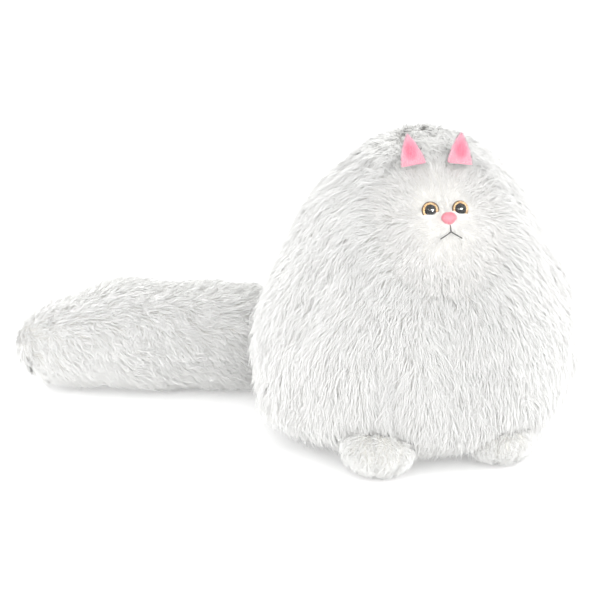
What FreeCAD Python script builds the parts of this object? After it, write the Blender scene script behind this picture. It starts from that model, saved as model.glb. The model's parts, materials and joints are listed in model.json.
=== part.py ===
import FreeCAD, Part
import math
import os

from FreeCAD import Base

# Sitting plush cat: an egg of sewn fur panels that is head and body in one, a small face, two front
# paws and a long thick tail. Millimetres, +Z up, the cat looks along -Y, the origin is on the floor
# under the middle of the body. Fur panels are as thick as their backing and combed pile together.

# Egg-shaped body: half width at each height
BODY_OUTLINE = [(93, 0), (123, 12), (144, 36), (151.5, 75), (149, 105), (138, 142),
                (121, 180), (102, 218), (76, 255), (45, 281), (0, 294)]
BODY_DEPTH = 0.97        # depth of the body over its width
BODY_LEAN = 0.055        # how far the body leans forwards for each millimetre of height
PILE = 14.0              # body fur panel thickness
BASE_THICKNESS = 6.0     # short-pile panel under the body
PANEL_COUNT = 6
SEAM_GAP = 0.3

# Face: a low muzzle on an oval short-pile panel
MUZZLE_CENTRE = (0, -82, 205)
MUZZLE_RADII = (50, 46, 36)
MUZZLE_WALL = 6.0
FACE_CENTRE_Z = 228.0
FACE_HALF = (45, 40)

# Clip-in eyes
EYE_X = 13.3
EYE_Z = 232.5
EYE_RADIUS = 8.0
EYE_DOME = 5.2
PUPIL_RADIUS = 4.0
POST_RADIUS = 2.4
POST_LENGTH = 15.0
WASHER_RADIUS = 9.5
WASHER_DEPTH = 9.0       # the washer's distance behind the eye's rim

NOSE_CENTRE = (0, -118.5, 227)
NOSE_RADII = (7.4, 4.2, 6.0)
THREAD_RADIUS = 0.7
MOUTH_TOP_Z = 222.0
MOUTH_FORK_Z = 216.5
MOUTH_END = (9.6, 211.0)

# Ears
EAR_WIDTH = 23.0
EAR_HEIGHT = 27.0
EAR_LAYER = 2.4          # thickness of each of an ear's two layers
EAR_BASE = (21.0, -77.5, 269)
EAR_LEAN = 16.0          # degrees back from upright
EAR_TURN = 8.0           # degrees out to its own side

# Front paws
PAW_CENTRE = (60, -112.5, 22.8)
PAW_RADII = (33.5, 35, 22.3)
PAW_PILE = 4.0
PAW_HINGE = (60, -131.5, 41)
PAW_LIFT = 30.0
SOLE_TOP = 7.0
TOE_SPACING = 9.0
STITCH_WIDTH = 1.2
STITCH_INSET = 0.9

# Tail: half thickness at each distance from its root
TAIL_ROOT = (0, 161, 57)
TAIL_OUTLINE = [(16, 17.5), (30, 19), (50, 28), (80, 44.5), (108, 53), (140, 56), (195, 56.3),
                (255, 54), (308, 45), (338, 29), (353, 9)]
TAIL_BREAKS = (115, 230)  # where the tail bends
TAIL_HEADINGS = (10, 12, 14)  # degrees from straight sideways for each stretch of the tail
TAIL_PILE = 14.0
ROOT_BALL = 24.0
ROOT_CORE = 13.0
BEND_BALL = 53.0
BEND_BACK = 24.0         # how far each bend's ball is bared behind its centre
BEND_START = 4.0
CLEARANCE = 0.5

os.makedirs("parts", exist_ok=True)
shapes = {}


def vec(x, y, z):
    return Base.Vector(x, y, z)


def save(name, shape):
    shapes[name] = shape
    shape.exportStep("parts/" + name + ".step")
    print(name, shape.isValid(), len(shape.Solids), round(shape.Volume / 1000, 1))


def ellipsoid(centre, radii):
    """A ball stretched to three half sizes."""
    matrix = FreeCAD.Matrix()
    matrix.scale(vec(*radii))
    ball = Part.makeSphere(1).transformGeometry(matrix)
    ball.translate(vec(*centre))
    return ball


def box(low, high):
    size = [b - a for a, b in zip(low, high)]
    return Part.makeBox(*size, vec(*low))


def spline(points):
    curve = Part.BSplineCurve()
    curve.interpolate([vec(x, 0, z) for x, z in points])
    return curve.toShape()


def line(a, b):
    return Part.makeLine(vec(a[0], 0, a[1]), vec(b[0], 0, b[1]))


def inset_outline(inset, bottom):
    """The body outline moved inwards, with its bottom point at a given height."""
    points = [(BODY_OUTLINE[0][0] - inset * 0.75, bottom)]
    for before, here, after in zip(BODY_OUTLINE, BODY_OUTLINE[1:], BODY_OUTLINE[2:]):
        run = (after[0] - before[0], after[1] - before[1])
        length = math.hypot(*run)
        points.append((here[0] - inset * run[1] / length, here[1] + inset * run[0] / length))
    points.append((0, BODY_OUTLINE[-1][1] - inset))
    return points


def lean(shape):
    matrix = FreeCAD.Matrix()
    matrix.A22 = BODY_DEPTH
    matrix.A23 = -BODY_LEAN
    return shape.transformGeometry(matrix)


def body_solid(outline):
    """A solid egg with the given outline."""
    top, low = outline[-1], outline[0]
    edges = [spline(outline), line(top, (0, low[1])), line((0, low[1]), low)]
    return lean(Part.Face(Part.Wire(edges)).revolve(vec(0, 0, 0), vec(0, 0, 1), 360))


def body_panel(outline, inner, start, sweep):
    """One fur panel: the wall between two outlines, over part of a turn."""
    edges = [spline(outline), line(outline[-1], inner[-1]), spline(inner), line(inner[0], outline[0])]
    face = Part.Face(Part.Wire(Part.__sortEdges__(edges)))
    face.rotate(vec(0, 0, 0), vec(0, 0, 1), start)
    panel = lean(face.revolve(vec(0, 0, 0), vec(0, 0, 1), sweep))
    return panel


def oval_wire(half_width, height):
    """The body's outline at one height near the floor."""
    oval = Part.Ellipse(vec(0, -BODY_LEAN * height, height), half_width, half_width * BODY_DEPTH)
    return Part.Wire(oval.toShape())


def face_area(grow):
    """An upright oval column over the front of the head."""
    oval = Part.makeCylinder(1, 200, vec(0, 0, 0), vec(0, -1, 0))
    matrix = FreeCAD.Matrix()
    matrix.scale(vec(FACE_HALF[0] + grow, 1, FACE_HALF[1] + grow))
    oval = oval.transformGeometry(matrix)
    oval.translate(vec(0, 0, FACE_CENTRE_Z))
    return oval


def thread_run(points):
    """A sewing thread through some points."""
    run = Part.makeSphere(THREAD_RADIUS, vec(*points[0]))
    for a, b in zip(points, points[1:]):
        step = vec(*b) - vec(*a)
        run = run.fuse(Part.makeCylinder(THREAD_RADIUS, step.Length, vec(*a), step))
        run = run.fuse(Part.makeSphere(THREAD_RADIUS, vec(*b)))
    return run


def on_muzzle(x, z, out):
    """A point on the muzzle, moved out by a given distance."""
    dx = (x - MUZZLE_CENTRE[0]) / MUZZLE_RADII[0]
    dz = (z - MUZZLE_CENTRE[2]) / MUZZLE_RADII[2]
    depth = math.sqrt(1 - dx * dx - dz * dz)
    return (x, MUZZLE_CENTRE[1] - MUZZLE_RADII[1] * depth - out, z)


def place_on_face(shape, side):
    """Moves a shape built along +Z from the origin to an eye's seat on the muzzle."""
    seat = vec(*on_muzzle(side * EYE_X, EYE_Z, -2.0))
    normal = vec(side * 0.16, -0.93, 0.33)
    shape.Placement = FreeCAD.Placement(seat, FreeCAD.Rotation(vec(0, 0, 1), normal))
    return shape


def eye_pieces():
    """Clear dome with its post, black pupil inside it, glitter disc behind it and lock washer."""
    rim = 1.2
    pupil_height = 1.6
    sphere_r = (EYE_RADIUS ** 2 + EYE_DOME ** 2) / (2 * EYE_DOME)
    cap = Part.makeSphere(sphere_r, vec(0, 0, rim + EYE_DOME - sphere_r))
    cap = cap.common(Part.makeCylinder(EYE_RADIUS, 20, vec(0, 0, rim)))
    plate = Part.makeCylinder(EYE_RADIUS, rim)
    post = Part.makeCylinder(POST_RADIUS, POST_LENGTH, vec(0, 0, -POST_LENGTH))
    pupil = Part.makeCylinder(PUPIL_RADIUS, pupil_height)
    dome = cap.fuse(plate).fuse(post).cut(pupil).removeSplitter()
    centre_pin = Part.makeCylinder(POST_RADIUS, pupil_height)
    dome = dome.fuse(centre_pin)
    pupil = pupil.cut(centre_pin)
    iris = Part.makeCylinder(EYE_RADIUS - 0.2, 0.5, vec(0, 0, -0.5))
    iris = iris.cut(Part.makeCylinder(POST_RADIUS, 2, vec(0, 0, -1)))
    washer = Part.makeCylinder(WASHER_RADIUS, 1.2, vec(0, 0, -WASHER_DEPTH))
    washer = washer.cut(Part.makeCylinder(POST_RADIUS, 4, vec(0, 0, -WASHER_DEPTH - 1)))
    return {"eye_dome": dome, "eye_pupil": pupil, "eye_iris": iris, "eye_washer": washer}


def ear_layer(front):
    """One layer of an ear, rounded triangle standing on its hinge line, thin towards its edge."""
    half = EAR_WIDTH / 2
    curve = Part.BSplineCurve()
    curve.interpolate([vec(-half, 0, 3), vec(-half * 0.72, 0, EAR_HEIGHT * 0.55), vec(0, 0, EAR_HEIGHT),
                       vec(half * 0.72, 0, EAR_HEIGHT * 0.55), vec(half, 0, 3)])
    base = Part.makeLine(vec(half, 0, 3), vec(-half, 0, 3))
    outline = Part.Face(Part.Wire([curve.toShape(), base]))
    slab = outline.extrude(vec(0, -EAR_LAYER if front else EAR_LAYER, 0))
    rounding = ellipsoid((0, 0, EAR_HEIGHT * 0.42), (half * 1.6, EAR_LAYER * 1.02, EAR_HEIGHT * 0.85))
    return slab.common(rounding)


def place_ear(shape, side):
    shape.rotate(vec(0, 0, 0), vec(1, 0, 0), -EAR_LEAN)
    shape.rotate(vec(0, 0, 0), vec(0, 1, 0), side * EAR_TURN)
    shape.translate(vec(side * EAR_BASE[0], EAR_BASE[1], EAR_BASE[2]))
    return shape


def paw_pieces(envelope):
    """Paw pouch, its sole, its stuffing and the two toe stitches, for the paw on the +X side."""
    whole = ellipsoid(PAW_CENTRE, PAW_RADII)
    stuffing_radii = [r - PAW_PILE for r in PAW_RADII]
    stuffing = ellipsoid(PAW_CENTRE, [r - SEAM_GAP for r in stuffing_radii])
    outer = ellipsoid(PAW_CENTRE, [r + SEAM_GAP for r in PAW_RADII])
    for step in range(4):
        swept = envelope.copy()
        swept.rotate(vec(*PAW_HINGE), vec(1, 0, 0), step * PAW_LIFT / 3)
        whole = whole.cut(swept)
        stuffing = stuffing.cut(swept)
        outer = outer.cut(swept)
    cover = whole.cut(ellipsoid(PAW_CENTRE, stuffing_radii))
    ring = outer.cut(ellipsoid(PAW_CENTRE, [r - STITCH_INSET for r in PAW_RADII]))
    front = PAW_CENTRE[1] - 12
    stitches = []
    for side in (-1, 1):
        x = PAW_CENTRE[0] + side * TOE_SPACING
        slot = box((x - STITCH_WIDTH / 2, front - 60, 9), (x + STITCH_WIDTH / 2, front, 60))
        stitches.append(ring.common(slot))
    stitch = Part.makeCompound(stitches)
    cover = cover.cut(stitch)
    low = box((0, -200, -5), (130, -60, SOLE_TOP))
    high = box((0, -200, SOLE_TOP + SEAM_GAP), (130, -60, 80))
    return {"paw_cover": cover.common(high), "paw_sole": cover.common(low),
            "paw_stuffing": stuffing, "toe_stitches": stitch}


def tail_length_solid(start, end, inset):
    """The tail's round solid between two distances from its root, thinner by inset, along +X."""
    points = [(s, r - inset) for s, r in TAIL_OUTLINE]
    curve = Part.BSplineCurve()
    curve.interpolate([vec(s, 0, r) for s, r in points])
    first, last = points[0], points[-1]
    edges = [curve.toShape(), Part.makeLine(vec(last[0], 0, last[1]), vec(last[0], 0, 0)),
             Part.makeLine(vec(last[0], 0, 0), vec(first[0], 0, 0)),
             Part.makeLine(vec(first[0], 0, 0), vec(first[0], 0, first[1]))]
    whole = Part.Face(Part.Wire(edges)).revolve(vec(0, 0, 0), vec(1, 0, 0), 360)
    return whole.common(box((start, -90, -90), (end, 90, 90)))


def tail_segments():
    """Three stretches of tail along +X; each bend is a ball on one stretch in a cup on the next."""
    end = TAIL_OUTLINE[-1][0]
    starts = [TAIL_OUTLINE[0][0]] + [b + BEND_START for b in TAIL_BREAKS]
    ends = [b - BEND_BACK for b in TAIL_BREAKS] + [end]
    whole, core = [], []
    for index, (start, stop) in enumerate(zip(starts, ends)):
        full = tail_length_solid(start, stop, 0)
        inner = tail_length_solid(0, end, TAIL_PILE)
        if index == 0:
            full = full.fuse(Part.makeSphere(ROOT_BALL)).cut(Part.makeSphere(ROOT_CORE + CLEARANCE))
            inner = inner.cut(box((-50, -90, -90), (TAIL_OUTLINE[1][0] + 10, 90, 90)))
        if index < len(TAIL_BREAKS):
            full = full.fuse(Part.makeSphere(BEND_BALL, vec(TAIL_BREAKS[index], 0, 0)))
        else:
            inner = inner.common(box((0, -90, -90), (TAIL_OUTLINE[-2][0], 90, 90)))
        if index > 0:
            full = full.cut(Part.makeSphere(BEND_BALL + CLEARANCE, vec(TAIL_BREAKS[index - 1], 0, 0)))
        whole.append(full)
        core.append(inner)
    return whole, core


def bend_points():
    """Where the tail's root and its two bends are."""
    points = [vec(*TAIL_ROOT)]
    stretches = [TAIL_BREAKS[0], TAIL_BREAKS[1] - TAIL_BREAKS[0]]
    for length, heading in zip(stretches, TAIL_HEADINGS):
        turn = math.radians(heading)
        points.append(points[-1] + vec(-math.cos(turn) * length, math.sin(turn) * length, 0))
    return points


def place_tail(shape, index):
    """Turns a stretch built along +X to its heading, about the bend that it starts from."""
    start = ([0] + list(TAIL_BREAKS))[index]
    shape.translate(vec(-start, 0, 0))
    shape.rotate(vec(0, 0, 0), vec(0, 0, 1), 180 - TAIL_HEADINGS[index])
    shape.translate(bend_points()[index])
    return shape


# Body ------------------------------------------------------------------------------------------
inner_outline = inset_outline(PILE, BASE_THICKNESS + SEAM_GAP)
egg = body_solid(BODY_OUTLINE)
egg_core = body_solid(inner_outline)
muzzle = ellipsoid(MUZZLE_CENTRE, MUZZLE_RADII)
muzzle_core = ellipsoid(MUZZLE_CENTRE, [r - MUZZLE_WALL for r in MUZZLE_RADII])
tail_pocket = Part.makeSphere(ROOT_BALL + CLEARANCE, vec(*TAIL_ROOT))

panel_names = ["back_right_panel", "side_right_panel", "front_right_panel",
               "front_left_panel", "side_left_panel", "back_left_panel"]
sweep = 360 / PANEL_COUNT
seam_turn = math.degrees(SEAM_GAP / BODY_OUTLINE[3][0])
face_hole = face_area(SEAM_GAP).fuse(ellipsoid(MUZZLE_CENTRE, [r + SEAM_GAP for r in MUZZLE_RADII]))
closing_bars = [box((-3, 90, z), (3, 140, z + 1.2)) for z in range(118, 168, 6)]
panel_skin = body_solid(inset_outline(PILE * 0.72, BASE_THICKNESS))
panel_skin = panel_skin.cut(body_solid(inset_outline(PILE * 0.82, BASE_THICKNESS)))
closing_stitches = Part.makeCompound([bar.common(panel_skin) for bar in closing_bars])

for index, name in enumerate(panel_names):
    panel = body_panel(BODY_OUTLINE, inner_outline, 90 + index * sweep + seam_turn / 2, sweep - seam_turn)
    if name.startswith("front"):
        panel = panel.cut(face_hole)
    if name.startswith("back"):
        panel = panel.cut(tail_pocket).cut(closing_stitches)
    save(name, panel)
save("closing_stitches", closing_stitches)

base_ring = BODY_OUTLINE[0][0] - SEAM_GAP * 2
base_top = inner_outline[0][0] - SEAM_GAP * 2
base_rims = [oval_wire(base_ring, 0), oval_wire(base_top, BASE_THICKNESS)]
save("base_panel", Part.makeLoft(base_rims, True, True))

stuffing = body_solid(inset_outline(PILE + SEAM_GAP, BASE_THICKNESS + SEAM_GAP))
stuffing = stuffing.cut(tail_pocket)

# Face ------------------------------------------------------------------------------------------
face = egg.common(face_area(0)).fuse(muzzle).cut(egg_core).cut(muzzle_core)
muzzle_stuffing = ellipsoid(MUZZLE_CENTRE, [r - MUZZLE_WALL - SEAM_GAP for r in MUZZLE_RADII])
muzzle_stuffing = muzzle_stuffing.cut(egg_core)
nose = ellipsoid(NOSE_CENTRE, NOSE_RADII)
mouth = thread_run([on_muzzle(0, MOUTH_TOP_Z, 0.3), on_muzzle(0, MOUTH_FORK_Z, 0.3)])
for side in (-1, 1):
    middle = (side * MOUTH_END[0] * 0.5, (MOUTH_FORK_Z + MOUTH_END[1]) / 2 - 0.4)
    mouth = mouth.fuse(thread_run([on_muzzle(0, MOUTH_FORK_Z, 0.3), on_muzzle(*middle, 0.3),
                                   on_muzzle(side * MOUTH_END[0], MOUTH_END[1], 0.3)]))
mouth = mouth.cut(nose)
face = face.cut(nose).cut(mouth)
muzzle_stuffing = muzzle_stuffing.cut(nose)

eye_seat = Part.makeCylinder(EYE_RADIUS + 0.1, 30, vec(0, 0, -0.6))
post_hole = Part.makeCylinder(POST_RADIUS + 0.1, 40, vec(0, 0, -POST_LENGTH - 0.2))
washer_seat = Part.makeCylinder(WASHER_RADIUS + 0.1, 1.4, vec(0, 0, -WASHER_DEPTH - 0.1))
eye_room = eye_seat.fuse(post_hole).fuse(washer_seat)
for side, word in ((-1, "right"), (1, "left")):
    room = place_on_face(eye_room.copy(), side)
    face = face.cut(room)
    muzzle_stuffing = muzzle_stuffing.cut(room)
    stuffing = stuffing.cut(room)
    nose = nose.cut(room)
    for name, piece in eye_pieces().items():
        save(name + "_" + word, place_on_face(piece, side))
save("nose", nose)
save("mouth_stitches", mouth)
half = SEAM_GAP / 2
save("face_right_panel", face.common(box((-90, -200, 100), (-half, 0, 300))))
save("face_left_panel", face.common(box((half, -200, 100), (90, 0, 300))))
save("muzzle_stuffing", muzzle_stuffing)
save("body_stuffing", stuffing)

# Ears ------------------------------------------------------------------------------------------
for side, word in ((-1, "right"), (1, "left")):
    save("ear_inner_" + word, place_ear(ear_layer(True), side))
    save("ear_back_" + word, place_ear(ear_layer(False), side))

# Paws ------------------------------------------------------------------------------------------
paw_room = body_solid([(r + (CLEARANCE if r else 0), z) for r, z in BODY_OUTLINE])
for name, piece in paw_pieces(paw_room).items():
    mirrored = piece.mirror(vec(0, 0, 0), vec(1, 0, 0))
    save(name + "_left", piece)
    save(name + "_right", mirrored)

# Tail ------------------------------------------------------------------------------------------
save("tail_root_stuffing", Part.makeSphere(ROOT_CORE, vec(*TAIL_ROOT)))
upper = box((-60, -90, SEAM_GAP / 2), (400, 90, 90))
lower = box((-60, -90, -90), (400, 90, -SEAM_GAP / 2))
for index, (whole, core) in enumerate(zip(*tail_segments())):
    word = ("base", "middle", "tip")[index]
    cover = whole.cut(core)
    save("tail_top_" + word, place_tail(cover.common(upper), index))
    save("tail_under_" + word, place_tail(cover.common(lower), index))
    save("tail_stuffing_" + word, place_tail(whole.common(core), index))
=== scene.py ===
import json
import math

import bmesh
import bpy
import numpy as np
from mathutils import Matrix, Vector, kdtree


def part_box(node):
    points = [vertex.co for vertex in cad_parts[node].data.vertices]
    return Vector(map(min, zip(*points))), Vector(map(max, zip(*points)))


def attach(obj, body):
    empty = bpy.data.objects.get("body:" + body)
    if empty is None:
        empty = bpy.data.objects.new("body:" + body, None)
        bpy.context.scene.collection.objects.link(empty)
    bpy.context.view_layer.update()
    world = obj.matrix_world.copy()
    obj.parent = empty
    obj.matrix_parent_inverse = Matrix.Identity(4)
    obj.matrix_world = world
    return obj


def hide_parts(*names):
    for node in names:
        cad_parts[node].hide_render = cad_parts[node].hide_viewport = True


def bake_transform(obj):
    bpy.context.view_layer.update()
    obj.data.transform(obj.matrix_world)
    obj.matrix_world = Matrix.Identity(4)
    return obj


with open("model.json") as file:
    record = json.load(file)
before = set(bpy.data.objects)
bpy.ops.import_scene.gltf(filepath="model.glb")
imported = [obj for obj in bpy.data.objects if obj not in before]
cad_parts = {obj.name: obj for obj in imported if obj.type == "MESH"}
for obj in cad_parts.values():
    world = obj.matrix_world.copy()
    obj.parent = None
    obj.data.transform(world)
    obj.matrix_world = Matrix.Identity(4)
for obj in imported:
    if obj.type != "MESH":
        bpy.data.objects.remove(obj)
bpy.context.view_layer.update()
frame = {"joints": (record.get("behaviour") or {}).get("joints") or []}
jointAt = {j["name"]: Vector(j["pos_m"]) for j in frame["joints"]}
mm = 0.001
print("frame loaded, joints:", sorted(jointAt))


# ---- general helpers
def hexColour(text):
    # sRGB hex to the linear colour that a socket takes
    parts = [int(text[i:i + 2], 16) / 255 for i in (1, 3, 5)]
    return [c / 12.92 if c <= 0.04045 else ((c + 0.055) / 1.055) ** 2.4 for c in parts] + [1.0]


def addNode(tree, kind, settings=None, values=None, links=None):
    # one node with its properties, its unlinked values and what feeds it
    made = tree.nodes.new(kind)
    for key, value in (settings or {}).items():
        setattr(made, key, value)
    for key, value in (values or {}).items():
        made.inputs[key].default_value = value
    for key, source in (links or {}).items():
        tree.links.new(source, made.inputs[key])
    return made


def newMaterial(name, values):
    material = bpy.data.materials.new(name)
    material.use_nodes = True
    tree = material.node_tree
    shader = tree.nodes["Principled BSDF"]
    for key, value in values.items():
        shader.inputs[key].default_value = value
    return material, tree, shader


def ramp(tree, source, stops):
    made = addNode(tree, "ShaderNodeValToRGB", links={"Fac": source})
    while len(made.color_ramp.elements) < len(stops):
        made.color_ramp.elements.new(0.5)
    for element, (place, colour) in zip(made.color_ramp.elements, stops):
        element.position = place
        element.color = hexColour(colour)
    return made.outputs["Color"]


def pieceFrom(bm, name, materials):
    mesh = bpy.data.meshes.new(name)
    bm.to_mesh(mesh)
    bm.free()
    for material in materials:
        mesh.materials.append(material)
    mesh.shade_smooth()
    made = bpy.data.objects.new(name, mesh)
    bpy.context.scene.collection.objects.link(made)
    return made


def finishModifiers(piece):
    # the modifiers' result becomes the piece's own mesh
    bpy.context.view_layer.update()
    graph = bpy.context.evaluated_depsgraph_get()
    mesh = bpy.data.meshes.new_from_object(piece.evaluated_get(graph))
    piece.modifiers.clear()
    piece.data = mesh
    mesh.name = piece.name


def coordsOf(mesh):
    co = np.empty(len(mesh.vertices) * 3, np.float32)
    mesh.vertices.foreach_get("co", co)
    return co.reshape(-1, 3).astype(float)


def setCoords(mesh, co):
    mesh.vertices.foreach_set("co", co.astype(np.float32).ravel())
    mesh.update()


def unit(v):
    return v / np.maximum(np.linalg.norm(v, axis=-1, keepdims=True), 1e-9)


def smoothThrough(points, count):
    # a smooth line through the points, evenly spaced by length
    p = np.array(points, float)
    p = np.vstack([2 * p[0] - p[1], p, 2 * p[-1] - p[-2]])
    line = []
    for a, b, c, d in zip(p, p[1:], p[2:], p[3:]):
        for t in np.linspace(0, 1, 24, endpoint=False):
            line.append(0.5 * (2 * b + (c - a) * t + (2 * a - 5 * b + 4 * c - d) * t * t
                               + (3 * b - 3 * c + d - a) * t ** 3))
    line = np.array(line + [p[-2]])
    gone = np.concatenate([[0], np.cumsum(np.linalg.norm(np.diff(line, axis=0), axis=1))])
    even = np.linspace(0, gone[-1], count)
    return np.stack([np.interp(even, gone, line[:, i]) for i in range(line.shape[1])], 1)


def waves(co, size, seed, count=5):
    # a soft field from about -1 to 1 whose bumps are about that size apart
    made = np.random.default_rng(seed)
    total = np.zeros(len(co))
    for _ in range(count):
        way = unit(made.normal(size=3))
        total += np.sin(co @ way * 2 * math.pi / (size * made.uniform(0.7, 1.5)) + made.uniform(0, 6.28))
    return total / math.sqrt(count)


def smoothStep(value, low, high):
    t = np.clip((value - low) / (high - low), 0, 1)
    return t * t * (3 - 2 * t)


# ---- materials
furLook = {
    # deep, napDeep and pawDeep are the hair roots' colours, darker as painted shade deep in the pile
    "deep": "#F9F8F6", "middle": "#FCFCFA", "light": "#FFFFFE",
    # painted shade: the short nap's colours are darker copies of the long pile's whites
    "napDeep": "#F0EFEC", "napMiddle": "#F7F6F4", "napLight": "#FCFCFA",
    "pawDeep": "#F7F6F3", "backing": "#ECEAE4", "knitStitch": 1.1 * mm,
    "earDeep": "#FF86A0", "earMiddle": "#FFA9BF", "earRim": "#FFD3DF",
    "nose": "#FFA9B5", "noseDeep": "#FC8C9C",
    "thread": "#2B2A2C", "threadPale": "#D9D8D4",
}


def pileMaterial(name, deep, middle, light):
    # brushed acrylic pile: matt hairs, a little darker and warmer towards their roots, which is painted
    # shade deep in the pile
    material, tree, shader = newMaterial(name, {"Roughness": 0.9, "Specular IOR Level": 0.0})
    tint = addNode(tree, "ShaderNodeAttribute", {"attribute_name": "tint"})
    tree.links.new(ramp(tree, tint.outputs["Fac"], [(0.0, deep), (0.5, middle), (1.0, light)]),
                   shader.inputs["Base Color"])
    return material


def knitMaterial(name, colour, stitch):
    # knitted polyester backing: fine rows of stitches, matt
    material, tree, shader = newMaterial(name, {"Roughness": 0.85, "Base Color": hexColour(colour),
                                                "Sheen Weight": 0.2})
    place = addNode(tree, "ShaderNodeTexCoord")
    rows = addNode(tree, "ShaderNodeTexWave", {"bands_direction": "Z", "wave_profile": "SIN"},
                   {"Scale": 0.31 / stitch, "Distortion": 1.5}, {"Vector": place.outputs["Object"]})
    bump = addNode(tree, "ShaderNodeBump", values={"Strength": 0.4, "Distance": 0.3 * mm},
                   links={"Height": rows.outputs["Fac"]})
    tree.links.new(bump.outputs["Normal"], shader.inputs["Normal"])
    return material


def flockMaterial(name, colour, deep):
    # flocked pad: very short dense fibres, no shine
    material, tree, shader = newMaterial(name, {"Roughness": 0.9, "Sheen Weight": 0.5})
    place = addNode(tree, "ShaderNodeTexCoord")
    grain = addNode(tree, "ShaderNodeTexNoise", values={"Scale": 1 / (1.2 * mm), "Detail": 3.0},
                    links={"Vector": place.outputs["Object"]})
    tree.links.new(ramp(tree, grain.outputs["Fac"], [(0.35, deep), (0.65, colour)]),
                   shader.inputs["Base Color"])
    bump = addNode(tree, "ShaderNodeBump", values={"Strength": 0.5, "Distance": 0.3 * mm},
                   links={"Height": grain.outputs["Fac"]})
    tree.links.new(bump.outputs["Normal"], shader.inputs["Normal"])
    return material


def threadMaterial(name, colour):
    # twisted polyester sewing thread: slanting plies with a faint lustre
    material, tree, shader = newMaterial(name, {"Roughness": 0.5, "Base Color": hexColour(colour),
                                                "Sheen Weight": 0.2})
    place = addNode(tree, "ShaderNodeTexCoord")
    plies = addNode(tree, "ShaderNodeTexWave", {"bands_direction": "DIAGONAL"},
                    {"Scale": 0.31 / (0.6 * mm)}, {"Vector": place.outputs["Object"]})
    bump = addNode(tree, "ShaderNodeBump", values={"Strength": 0.6, "Distance": 0.15 * mm},
                   links={"Height": plies.outputs["Fac"]})
    tree.links.new(bump.outputs["Normal"], shader.inputs["Normal"])
    return material


def fibreMaterial():
    # carded polyester fibre filling: white, matt and cloudy
    material, tree, shader = newMaterial("polyesterFibreFill", {"Roughness": 0.95, "Sheen Weight": 0.4})
    place = addNode(tree, "ShaderNodeTexCoord")
    cloud = addNode(tree, "ShaderNodeTexNoise", values={"Scale": 1 / (14 * mm), "Detail": 6.0,
                                                        "Distortion": 1.2},
                    links={"Vector": place.outputs["Object"]})
    tree.links.new(ramp(tree, cloud.outputs["Fac"], [(0.3, "#E6E5E2"), (0.7, "#F8F8F6")]),
                   shader.inputs["Base Color"])
    bump = addNode(tree, "ShaderNodeBump", values={"Strength": 0.7, "Distance": 2 * mm},
                   links={"Height": cloud.outputs["Fac"]})
    tree.links.new(bump.outputs["Normal"], shader.inputs["Normal"])
    return material


longPile = pileMaterial("longAcrylicPile", furLook["deep"], furLook["middle"], furLook["light"])
# painted shade: a darker copy of the long pile, so the nap reads less bright under the front light
shadedShortPile = pileMaterial("shortAcrylicPile", furLook["napDeep"], furLook["napMiddle"], furLook["napLight"])
pawPile = pileMaterial("pawAcrylicPile", furLook["pawDeep"], furLook["middle"], furLook["light"])
pinkPile = pileMaterial("pinkMinkyPile", furLook["earDeep"], furLook["earMiddle"], furLook["earRim"])
backing = knitMaterial("knittedBacking", furLook["backing"], furLook["knitStitch"])
pinkBacking = knitMaterial("pinkKnittedBacking", furLook["earMiddle"], furLook["knitStitch"])
fibreFill = fibreMaterial()
print("materials made")


# ---- pile
def strandTemplate(name, rings):
    # a thin three-sided hair, one unit tall, tapering to a point; rings are the heights between
    bm = bmesh.new()
    bmesh.ops.create_circle(bm, cap_ends=True, segments=3, radius=1.0)
    face = bm.faces[:][0]
    bmesh.ops.reverse_faces(bm, faces=[face])
    last = 0.0
    sides = [face]
    for height in rings:
        made = bmesh.ops.extrude_face_region(bm, geom=sides)["geom"]
        bmesh.ops.delete(bm, geom=sides if last > 0 else [], context="FACES")
        sides = [g for g in made if isinstance(g, bmesh.types.BMFace)]
        corners = [g for g in made if isinstance(g, bmesh.types.BMVert)]
        bmesh.ops.translate(bm, verts=corners, vec=(0, 0, height - last))
        last = height
    bmesh.ops.pointmerge(bm, verts=list(sides[0].verts), merge_co=(0, 0, 1))
    bmesh.ops.recalc_face_normals(bm, faces=bm.faces[:])
    template = pieceFrom(bm, name, [])
    template.hide_render = True
    return template


hairShort = strandTemplate("hairShort", [0.5, 1.0])


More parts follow.
